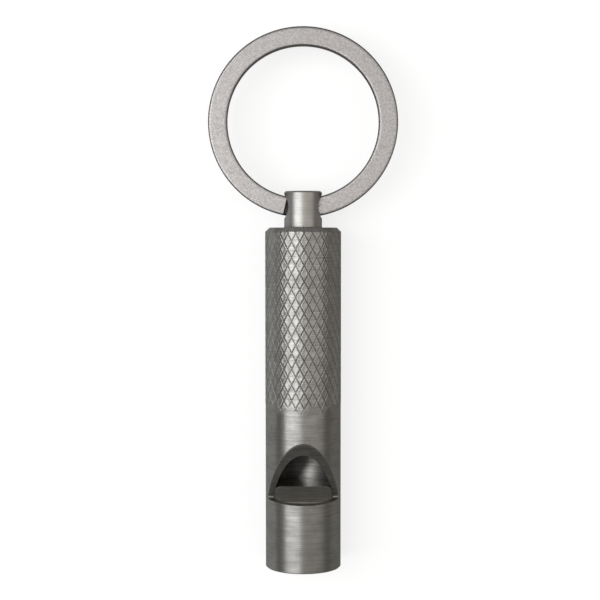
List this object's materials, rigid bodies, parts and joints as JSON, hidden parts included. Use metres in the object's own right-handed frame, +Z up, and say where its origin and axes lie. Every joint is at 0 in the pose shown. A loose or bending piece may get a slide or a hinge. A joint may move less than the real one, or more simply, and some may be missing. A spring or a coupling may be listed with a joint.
{
  "type": "keychain whistle",
  "caption": "Tube whistle turned from one metal bar, with a diamond-knurled grip, an arched window over a windway plug, and a flat split ring that swings in an eye through its neck",
  "frame": {"origin": "centre of the bounding box at its bottom, on the surface the whistle lies on", "axes": "+Y along the barrel from the mouth end to the ring, +Z up with the window on top, +X to the right seen from above with the ring away"},
  "size_m": [0.025, 0.0716, 0.0101],
  "materials": {
    "body_metal": "dark grey titanium, fine turning marks round the barrel",
    "plug_metal": "dark grey titanium, milled faces",
    "ring_metal": "lighter grey metal, tumbled matt"
  },
  "bodies": {
    "whistle": {"whistle_body": "body_metal", "windway_plug": "plug_metal"},
    "ring": {"split_ring": "ring_metal"}
  },
  "joints": [
    {"name": "ring_swing", "type": "hinge", "parent": "whistle", "child": "ring", "pos_m": [0, 0.01217, 0.00503], "axis": [1, 0, 0], "range_deg": [-163, 163]}
  ]
}
